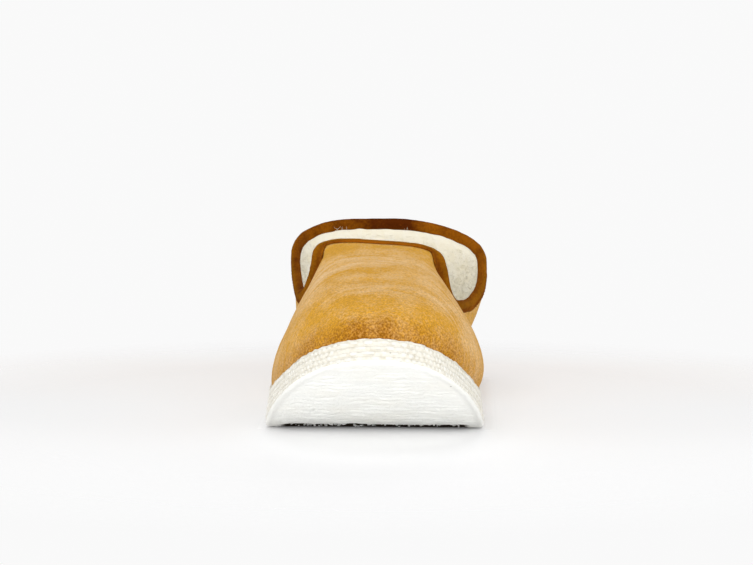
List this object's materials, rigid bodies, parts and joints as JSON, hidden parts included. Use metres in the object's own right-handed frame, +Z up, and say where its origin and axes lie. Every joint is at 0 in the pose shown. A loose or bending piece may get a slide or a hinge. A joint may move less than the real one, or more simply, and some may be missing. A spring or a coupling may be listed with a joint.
{
  "type": "house slipper",
  "caption": "Low closed-heel house slipper for the right foot: hollow suede upper lined with wool, bound collar, wool footbed and a thick foam sole that rises at the toe.",
  "frame": {"origin": "on the floor, below the middle of the slipper's box", "axes": "+Z up, +Y from toe to heel, +X to the inner (big toe) side"},
  "size_m": [0.1058, 0.268, 0.0879],
  "materials": {
    "foam": "matt white moulded foam",
    "wool": "short cream wool pile",
    "suede": "ochre suede, mottled nap",
    "binding_suede": "dark brown suede strip"
  },
  "bodies": {
    "root": {"outsole": "foam", "insole": "wool", "upper": "suede", "collar_binding": "binding_suede"}
  },
  "joints": []
}
